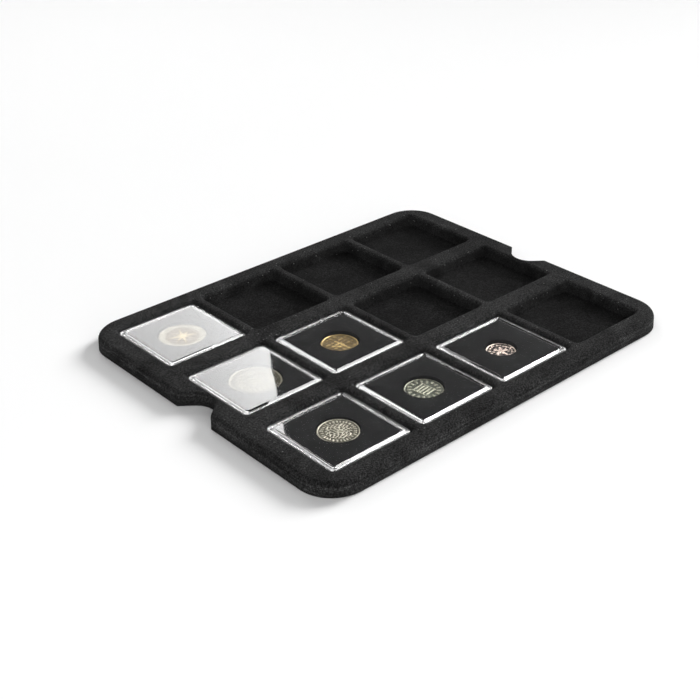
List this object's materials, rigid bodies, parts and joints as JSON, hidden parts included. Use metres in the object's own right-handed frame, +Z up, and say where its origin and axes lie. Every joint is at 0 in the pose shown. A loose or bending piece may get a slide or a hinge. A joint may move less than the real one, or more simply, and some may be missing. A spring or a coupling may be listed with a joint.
{
  "type": "coin display tray",
  "caption": "Flat flocked tray of square compartments with a thumb notch in each short side, part filled with clear square coin capsules.",
  "frame": {"origin": "centre of the tray's footprint, in the plane that it stands on", "axes": "+X along the long side, with four compartments, +Y along the short side, with three compartments, +Z up out of the compartments"},
  "size_m": [0.253, 0.206, 0.0086],
  "materials": {
    "flocked_sheet": "matte",
    "clear_plastic": "gloss",
    "black_foam": "matte",
    "coin_metal_1": "satin",
    "coin_metal_2": "satin",
    "coin_metal_3": "satin",
    "coin_metal_4": "satin",
    "coin_metal_5": "satin",
    "coin_metal_6": "satin"
  },
  "bodies": {
    "tray": {"tray": "flocked_sheet"},
    "capsule_1": {"capsule_base_1": "clear_plastic", "foam_insert_1": "black_foam", "coin_1": "coin_metal_1"},
    "lid_1": {"capsule_lid_1": "clear_plastic"},
    "capsule_2": {"capsule_base_2": "clear_plastic", "foam_insert_2": "black_foam", "coin_2": "coin_metal_2"},
    "lid_2": {"capsule_lid_2": "clear_plastic"},
    "capsule_3": {"capsule_base_3": "clear_plastic", "foam_insert_3": "black_foam", "coin_3": "coin_metal_3"},
    "lid_3": {"capsule_lid_3": "clear_plastic"},
    "capsule_4": {"capsule_base_4": "clear_plastic", "foam_insert_4": "black_foam", "coin_4": "coin_metal_4"},
    "lid_4": {"capsule_lid_4": "clear_plastic"},
    "capsule_5": {"capsule_base_5": "clear_plastic", "foam_insert_5": "black_foam", "coin_5": "coin_metal_5"},
    "lid_5": {"capsule_lid_5": "clear_plastic"},
    "capsule_6": {"capsule_base_6": "clear_plastic", "foam_insert_6": "black_foam", "coin_6": "coin_metal_6"},
    "lid_6": {"capsule_lid_6": "clear_plastic"}
  },
  "joints": [
    {"name": "capsule_1_lift", "type": "slide", "parent": "tray", "child": "capsule_1", "axis": [0, 0, 1], "range_m": [0, 0.03]},
    {"name": "lid_1_lift", "type": "slide", "parent": "capsule_1", "child": "lid_1", "axis": [0, 0, 1], "range_m": [0, 0.02]},
    {"name": "capsule_2_lift", "type": "slide", "parent": "tray", "child": "capsule_2", "axis": [0, 0, 1], "range_m": [0, 0.03]},
    {"name": "lid_2_lift", "type": "slide", "parent": "capsule_2", "child": "lid_2", "axis": [0, 0, 1], "range_m": [0, 0.02]},
    {"name": "capsule_3_lift", "type": "slide", "parent": "tray", "child": "capsule_3", "axis": [0, 0, 1], "range_m": [0, 0.03]},
    {"name": "lid_3_lift", "type": "slide", "parent": "capsule_3", "child": "lid_3", "axis": [0, 0, 1], "range_m": [0, 0.02]},
    {"name": "capsule_4_lift", "type": "slide", "parent": "tray", "child": "capsule_4", "axis": [0, 0, 1], "range_m": [0, 0.03]},
    {"name": "lid_4_lift", "type": "slide", "parent": "capsule_4", "child": "lid_4", "axis": [0, 0, 1], "range_m": [0, 0.02]},
    {"name": "capsule_5_lift", "type": "slide", "parent": "tray", "child": "capsule_5", "axis": [0, 0, 1], "range_m": [0, 0.03]},
    {"name": "lid_5_lift", "type": "slide", "parent": "capsule_5", "child": "lid_5", "axis": [0, 0, 1], "range_m": [0, 0.02]},
    {"name": "capsule_6_lift", "type": "slide", "parent": "tray", "child": "capsule_6", "axis": [0, 0, 1], "range_m": [0, 0.03]},
    {"name": "lid_6_lift", "type": "slide", "parent": "capsule_6", "child": "lid_6", "axis": [0, 0, 1], "range_m": [0, 0.02]}
  ]
}
